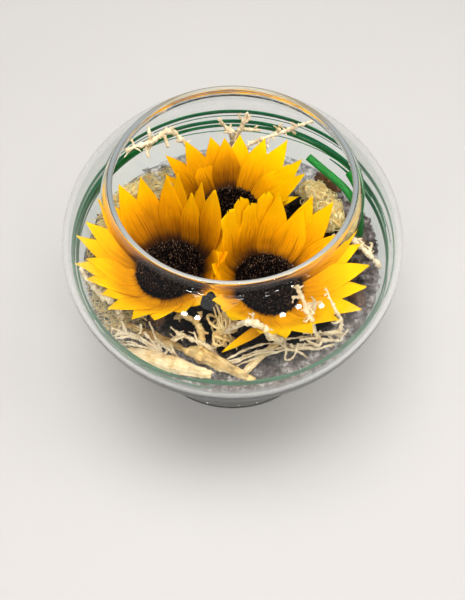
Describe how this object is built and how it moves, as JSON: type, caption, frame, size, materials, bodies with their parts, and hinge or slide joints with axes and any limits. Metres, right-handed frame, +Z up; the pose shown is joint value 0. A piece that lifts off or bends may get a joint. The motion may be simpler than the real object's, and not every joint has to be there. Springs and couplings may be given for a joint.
{
  "type": "sunflowers in a vase",
  "caption": "Preserved sunflowers bedded in dark bark soil inside a round footed glass bowl, with wound grass blades, bleached twigs, driftwood, vine and moss.",
  "frame": {"origin": "centre of the foot's resting ring, on the surface that the bowl stands on", "axes": "+Z up along the bowl's axis, +X to the right and -Y to the front, where the two front flowers are"},
  "size_m": [0.2, 0.2, 0.165],
  "materials": {
    "glass": "clear, smooth blown glass with a very faint green tint",
    "soil": "loose, dark brown shredded bark",
    "petal": "matte preserved petal, golden yellow with brown veins towards the base",
    "disc": "finely granular, dark brown florets",
    "calyx": "matte, slightly hairy dull green",
    "grass": "dyed deep green, slightly glossy, with fine lengthwise ribs",
    "twig": "bleached, knobbly and matte",
    "driftwood": "bleached, fibrous and matte",
    "moss": "cream, matted fibres",
    "bark": "dark brown, curled and slightly shiny bark"
  },
  "bodies": {
    "root": {"glass_bowl": "glass", "bark_soil": "soil", "petals_left": "petal", "petals_right": "petal", "petals_back": "petal", "disc_left": "disc", "disc_right": "disc", "disc_back": "disc", "calyx_left": "calyx", "calyx_right": "calyx", "calyx_back": "calyx", "grass_1": "grass", "grass_2": "grass", "grass_3": "grass", "grass_4": "grass", "grass_5": "grass", "grass_6": "grass", "grass_7": "grass", "grass_end_1": "grass", "grass_end_2": "grass", "back_left": "twig", "back_centre": "twig", "back_right": "twig", "left_twig": "twig", "right_twig": "twig", "front_root": "twig", "front_branch": "twig", "front_fork": "twig", "front_fan": "twig", "front_twig": "twig", "right_coral": "twig", "right_loop": "twig", "driftwood_long": "driftwood", "driftwood_bar": "driftwood", "driftwood_short": "driftwood", "driftwood_stick": "driftwood", "vine_tangle": "twig", "moss_right": "moss", "moss_left_back": "moss", "moss_left": "moss", "moss_left_front": "moss", "bark_right_back": "bark", "bark_right": "bark", "bark_middle": "bark", "bark_front_right": "bark", "bark_front_left": "bark"}
  },
  "joints": []
}
